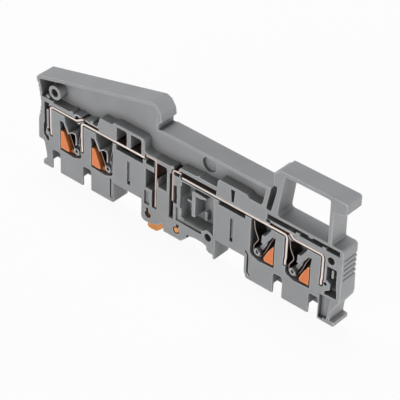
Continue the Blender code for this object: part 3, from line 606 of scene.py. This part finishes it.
LOW, HIGH = ([v / MM for v in corner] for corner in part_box("contact_right"))
STEP_LEFT, STEP_RIGHT = LOW[0] - CLEAR, HIGH[0] + CLEAR
STEP_RING = [(STEP_LEFT, LOW[2] - CLEAR), (STEP_RIGHT, LOW[2] - CLEAR),
             (STEP_RIGHT, -18.6), (STEP_LEFT, -18.4)]
STEP = cutter("step", STEP_RING, LOW[1] - CLEAR, LOW[1] + 1.6)
print("tools:", len(TEETH), "teeth,", len(MARKS), "marks and one step")
print("the contact is", round(HIGH[1] - LOW[1], 2), "mm wide")

# %% [markdown]
# ### The four clamps, seen from the front
#
# Each clamp is carved a little further. The arm that carries a spring sinks back into the shade
# just before its round boss, and the left arms are thin in front. The front skin is thin beside
# the notches of the wire funnels, and the ground shows past it. Three bars stand in slots that
# are wider on their right, so their brown sides show. To open such a slot, we cut with the bar's
# own shape, moved a little up and to the right. That keeps every bend of the bar. The wall beside
# the groove of the right foot ends a step behind the front.

# %% Sunken necks and thin skins at the clamps
BOSS_REACH, BOSS_HEIGHT, BOSS_ROOM = 8.4, -19.8, 0.98
# For each clamp, where its bar's leg stands and which way the arm reaches from it.
CLAMPS = [(-52.65, 1), (-42.29, 1), (21.17, -1), (31.53, -1)]
NECK_DEPTH = 1.3
LEFT_NECK = [(7.6, -17.6), (9.2, -17.8)], range(35, 146, 11)
RIGHT_NECK = ([(6.0, -19.9), (5.4, -17.4), (5.4, -16.2), (8.6, -16.2), (9.0, -17.9)],
              range(80, 191, 11))
ARM_RING = [(7.9, -17.7), (8.43, -17.7), (8.47, -15.9), (8.22, -14.82), (7.42, -14.73),
            (6.02, -15.56), (5.9, -16.1), (7.4, -15.2), (7.95, -15.3), (8.05, -15.9)]
SKIN, SKIN_BACK = 0.55, 4.3
SKIN_RING = [(-3.2, -29.6), (0.2, -29.6), (0.2, -26.0), (-1.6, -26.4), (-3.2, -27.6)]
NOTCH_FROM_LEG = {1: 0.45, -1: -3.18}


def neck_cut(leg, way):
    """The front of a spring arm between its bend and its boss. Reach runs from the bar's leg."""
    corners, turns = LEFT_NECK if way > 0 else RIGHT_NECK
    ring = corners + arc(BOSS_REACH, BOSS_HEIGHT, BOSS_ROOM, map(math.radians, turns))
    return cutter("neck", [(leg + way * reach, z) for reach, z in ring],
                  FRONT - CLEAR, FRONT + NECK_DEPTH)


def arm_cut(leg):
    """The inner side of a left spring arm, which leaves its front thin."""
    return cutter("arm", [(leg + reach, z) for reach, z in ARM_RING],
                  FRONT - CLEAR, FRONT + NECK_DEPTH)


def skin_cut(leg, way):
    """The room behind the front skin, on the left of a clamp's notch."""
    notch = leg + NOTCH_FROM_LEG[way]
    return cutter("skin", [(notch + x, z) for x, z in SKIN_RING], FRONT + SKIN, FRONT + SKIN_BACK)


NECKS = [neck_cut(leg, way) for leg, way in CLAMPS]
ARMS = [arm_cut(leg) for leg, way in CLAMPS if way > 0]
SKINS = [skin_cut(leg, way) for leg, way in CLAMPS]
print("tools at the clamps:", len(NECKS), "necks,", len(ARMS), "arms and", len(SKINS), "skins")

# %% Wider slots and the ledge of the right foot
GAP_SHIFT = Vector((0.42, -0.3, 0.2)) * MM
LEDGE_DEPTH = 1.15
LEDGE_RING = [(31.32, -28.1), (31.32, -21.3), (32.6, -21.3), (32.6, -28.1)]


def side_gap(name):
    """A bar's own shape, moved up and to the right. It opens the slot beside the bar."""
    tool = bpy.data.objects.new(name + "_gap", NODES[name].data.copy())
    tool.matrix_world = NODES[name].matrix_world
    for vert in tool.data.vertices:
        vert.co += GAP_SHIFT
    SCENE.collection.objects.link(tool)
    return tool


GAPS = [side_gap(name) for name in ("bar_inner_left", "bar_inner_right", "bar_outer_right")]
LEDGE = cutter("ledge", LEDGE_RING, FRONT - CLEAR, FRONT + LEDGE_DEPTH)
CARVED = {
    "housing": TEETH + MARKS + NECKS + ARMS + SKINS + GAPS + [LEDGE],
    "contact_right": [STEP],
}
print("cuts:", {name: len(tools) for name, tools in CARVED.items()})

# %% [markdown]
# ### The dressed copies
#
# Flat faces are joined first, so that no bevel starts from a line inside a face. Edges that
# would get a bevel thinner than 0.03 mm stay sharp. That changes the corners of the edges beside
# them, so the choice is made a few times over until it holds.

# %% Widths that run on smoothly
THINNEST = 0.03 * MM
OUTWARD = math.radians(30)
RUN_ON = math.radians(50)
SWEEPS, CHOICES = 60, 8


def same_along_curves(bm, widths):
    """Edges that run on into each other take the smaller width of the two."""
    pairs = []
    for vert in bm.verts:
        meeting = [edge for edge in vert.link_edges if edge in widths]
        for number, one in enumerate(meeting):
            for two in meeting[number + 1:]:
                here = vert.co - one.other_vert(vert).co
                there = two.other_vert(vert).co - vert.co
                if here.angle(there, 0.0) < RUN_ON:
                    pairs.append((one, two))
    for sweep in range(SWEEPS):
        before = sum(widths.values())
        for one, two in pairs:
            widths[one] = widths[two] = min(widths[one], widths[two])
        if sum(widths.values()) == before:
            break


def wide_enough(widths):
    """The edges whose bevel is worth making, with their widths."""
    return {edge: width for edge, width in widths.items() if width > THINNEST}


def edge_rounds(bm, radius):
    """The bevel width of each outward edge, in metres."""
    chosen = {edge for edge in bm.edges
              if len(edge.link_faces) == 2 and edge.is_convex
              and edge.calc_face_angle() > OUTWARD}
    widths = dict.fromkeys(chosen, radius)
    for face in bm.faces:
        for edge, room in room_across(face, chosen).items():
            widths[edge] = min(widths[edge], room)
    for choice in range(CHOICES):
        chosen = set(wide_enough(widths))
        widths = {edge: min(widths[edge], room_at_ends(edge, chosen)) for edge in chosen}
        same_along_curves(bm, widths)
    return wide_enough(widths)


print("thinnest bevel:", round(THINNEST / MM, 3), "mm")

# %% Smooth curves beside flat faces
STRIP_WIDTH = 0.12
FLAT, CURVED = 3, 50


def is_strip(face):
    """True for a long narrow face, as the bevel makes them."""
    return face.calc_area() < STRIP_WIDTH * MM * face.calc_perimeter() / 2


def shade_smoothly(mesh):
    """Smooth shading along curves and over rounded edges, with every flat face left flat."""
    bm = bmesh.new()
    bm.from_mesh(mesh)
    for face in bm.faces:
        face.smooth = True
    for edge in bm.edges:
        if len(edge.link_faces) != 2:
            edge.smooth = False
            continue
        one, other = edge.link_faces
        angle = math.degrees(edge.calc_face_angle(0))
        edge.smooth = angle < FLAT or (angle < CURVED and is_strip(one) == is_strip(other))
    bm.to_mesh(mesh)
    bm.free()


print("faces under", STRIP_WIDTH, "mm wide count as rounded edges")

# %% Dressed copies with rounded edges
SLOTS = {part["node"]: part["material_slot"] for part in frame["record"]["subparts"]}
SAME_POINT = 0.002 * MM
SAME_PLANE = math.radians(0.5)
PLASTIC_EDGE, METAL_EDGE = 0.14, 0.08
BEVEL_STEPS = 2


def edge_width(name):
    """The round of an edge where there is room for it, in mm."""
    return PLASTIC_EDGE if SLOTS[name].endswith("plastic") else METAL_EDGE


def dressed(name, radius):
    """A copy of one solid with its edges rounded, standing for the solid."""
    solid = NODES[name]
    mesh = solid.data.copy()
    mesh.name = name + "_dressed"
    copy = bpy.data.objects.new(name + "_dressed", mesh)
    SCENE.collection.objects.link(copy)
    if name in CARVED:
        carve(copy, CARVED[name])
    bm = bmesh.new()
    bm.from_mesh(mesh)
    bmesh.ops.remove_doubles(bm, verts=bm.verts, dist=SAME_POINT)
    bmesh.ops.dissolve_limit(bm, angle_limit=SAME_PLANE, verts=bm.verts, edges=bm.edges)
    weight = bm.edges.layers.float.new("bevel_weight_edge")
    rounds = edge_rounds(bm, radius * MM)
    for edge, width in rounds.items():
        edge[weight] = width / (radius * MM)
    bm.to_mesh(mesh)
    bm.free()
    bevel = copy.modifiers.new("moulded_edge", "BEVEL")
    bevel.width = radius * MM
    bevel.segments = BEVEL_STEPS
    bevel.limit_method = "WEIGHT"
    bevel.use_clamp_overlap = False
    bevel.loop_slide = False
    settle(copy)
    shade_smoothly(copy.data)
    print(name, "rounded edges:", len(rounds),
          "mean width in mm:", round(sum(rounds.values()) / len(rounds) / MM, 3))
    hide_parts(name)
    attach(copy, solid["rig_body"])
    return copy


PIECES = {name: dressed(name, edge_width(name)) for name in NODES}
print("dressed copies:", len(PIECES))

# %% [markdown]
# ### A finish for each piece
#
# The record names a material slot for each solid, so the finish follows the slot. The lever is the
# one exception: its slot is the same orange plastic as the buttons', but it gets the yellower
# tone.

# %% Give each piece its finish
FINISHES = {
    "grey_plastic": GREY,
    "orange_plastic": ORANGE,
    "tinned_copper": TINNED,
    "bare_copper": COPPER,
    "spring_steel": STEEL,
}
for name, piece in PIECES.items():
    finish = AMBER if name == "disconnect_lever" else FINISHES[SLOTS[name]]
    piece.data.materials.clear()
    piece.data.materials.append(finish)
print("finished", len(PIECES), "pieces")

# %% [markdown]
# ### Floors in the deep slots
#
# Some slots of the moulding are only half as deep as the pockets beside them. Each gets a floor:
# a small prism that fills the back of the slot. It is a little larger than the slot, so its edges
# lie inside the walls and no seam shows.

# %% Five slot floors
FLOOR_BACK = 4.3
SLOT_FLOORS = {
    "slot_floor_centre": (1.5, [(-10.75, -9.9), (0.3, -9.9), (0.3, -8.6), (-10.75, -8.6)]),
    "groove_floor": (1.1, [(32.3, -21.1), (32.35, -27.75), (33.8, -27.75), (34.6, -21.1)]),
    "mark_floor_left": (0.56, [(-27.4, -20.05), (-26.3, -20.05), (-26.3, -14.0), (-27.4, -14.0)]),
    "mark_floor_right": (0.56, [(4.65, -20.0), (5.75, -20.0), (5.75, -14.0), (4.65, -14.0)]),
    "end_slot_floor": (2.4, [(32.7, -12.5), (32.7, -20.8), (35.8, -20.6), (35.4, -12.5)]),
}


def slot_floor(name, depth, ring):
    """A floor at the given depth in mm behind the front plane."""
    floor = cutter(name, ring, FRONT + depth, FRONT + FLOOR_BACK)
    floor.data.materials.append(GREY)
    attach(floor, NODES["housing"]["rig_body"])
    return floor


FLOORS = [slot_floor(name, depth, ring) for name, (depth, ring) in SLOT_FLOORS.items()]
print("slot floors:", [floor.name for floor in FLOORS])

# %% [markdown]
